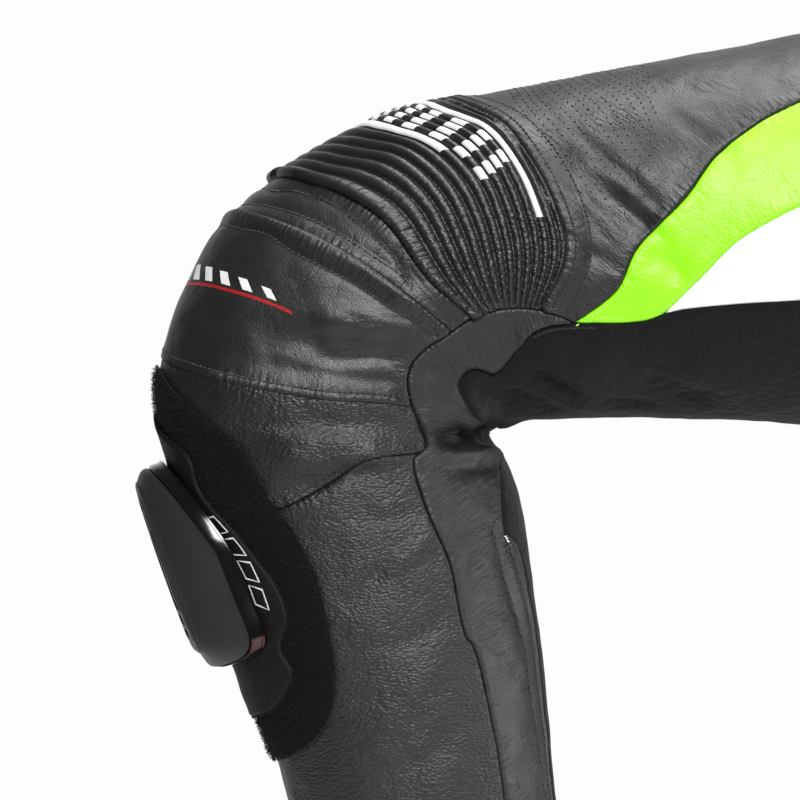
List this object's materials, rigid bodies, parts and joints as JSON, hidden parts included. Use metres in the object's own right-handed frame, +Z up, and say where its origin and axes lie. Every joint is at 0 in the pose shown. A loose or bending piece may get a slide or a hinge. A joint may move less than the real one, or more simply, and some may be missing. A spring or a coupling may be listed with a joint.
{
  "type": "motorcycle trousers",
  "caption": "Leather motorcycle trousers in riding pose: hollow shell with ribbed stretch knees, hook-and-loop knee sliders, coloured thigh inserts, calf zips and an open waist and hems.",
  "frame": {"origin": "middle of the waist opening, where the wearer's waist holds the trousers up", "axes": "+Z up, -Y the way the wearer faces, -X the wearer's right leg; the mirror plane is X = 0"},
  "size_m": [0.7602, 0.5995, 0.696],
  "materials": {
    "black_leather": "satin",
    "perforated_leather": "satin, fine perforations on the lower thigh",
    "rib_leather": "satin",
    "knee_leather": "fine grain",
    "shin_leather": "pebbled grain",
    "green_leather": "satin",
    "white_leather": "satin",
    "stretch_cloth": "matte knit",
    "zip_cloth": "woven tape",
    "loop_pile": "fuzzy pile",
    "hook_plate": "matte",
    "slider_gloss": "gloss",
    "slider_matte": "matte",
    "zip_metal": "dark",
    "snap_metal": "dark"
  },
  "bodies": {
    "trousers": {"right_waistband": "black_leather", "left_waistband": "black_leather", "right_front_thigh": "perforated_leather", "left_front_thigh": "perforated_leather", "right_green_insert": "green_leather", "left_green_insert": "green_leather", "right_white_insert": "white_leather", "left_white_insert": "white_leather", "right_knee_accordion": "rib_leather", "left_knee_accordion": "rib_leather", "right_knee_cup": "knee_leather", "left_knee_cup": "knee_leather", "right_knee_band": "knee_leather", "left_knee_band": "knee_leather", "right_shin_upper": "shin_leather", "left_shin_upper": "shin_leather", "right_shin_lower": "shin_leather", "left_shin_lower": "shin_leather", "right_side_inner": "black_leather", "left_side_inner": "black_leather", "right_side_outer": "black_leather", "left_side_outer": "black_leather", "right_seat_back": "black_leather", "left_seat_back": "black_leather", "right_stretch": "stretch_cloth", "left_stretch": "stretch_cloth", "right_zip_tape": "zip_cloth", "left_zip_tape": "zip_cloth", "right_loop_panel": "loop_pile", "left_loop_panel": "loop_pile", "right_hook_plate": "hook_plate", "left_hook_plate": "hook_plate", "right_slider_band": "slider_gloss", "left_slider_band": "slider_gloss", "right_slider_puck": "slider_matte", "left_slider_puck": "slider_matte", "right_zip_slider": "zip_metal", "left_zip_slider": "zip_metal", "fly_flap": "black_leather", "waist_tab": "black_leather", "snap": "snap_metal"},
    "right_pull": {"right_zip_pull": "zip_metal"},
    "left_pull": {"left_zip_pull": "zip_metal"}
  },
  "joints": [
    {"name": "right_pull_hinge", "type": "hinge", "parent": "trousers", "child": "right_pull", "pos_m": [-0.22811, -0.21508, -0.59805], "axis": [0.7846, -0.6179, -0.0505], "range_deg": [0, 160]},
    {"name": "left_pull_hinge", "type": "hinge", "parent": "trousers", "child": "left_pull", "pos_m": [0.22811, -0.21508, -0.59805], "axis": [0.7846, 0.6179, 0.0505], "range_deg": [0, 160]}
  ]
}
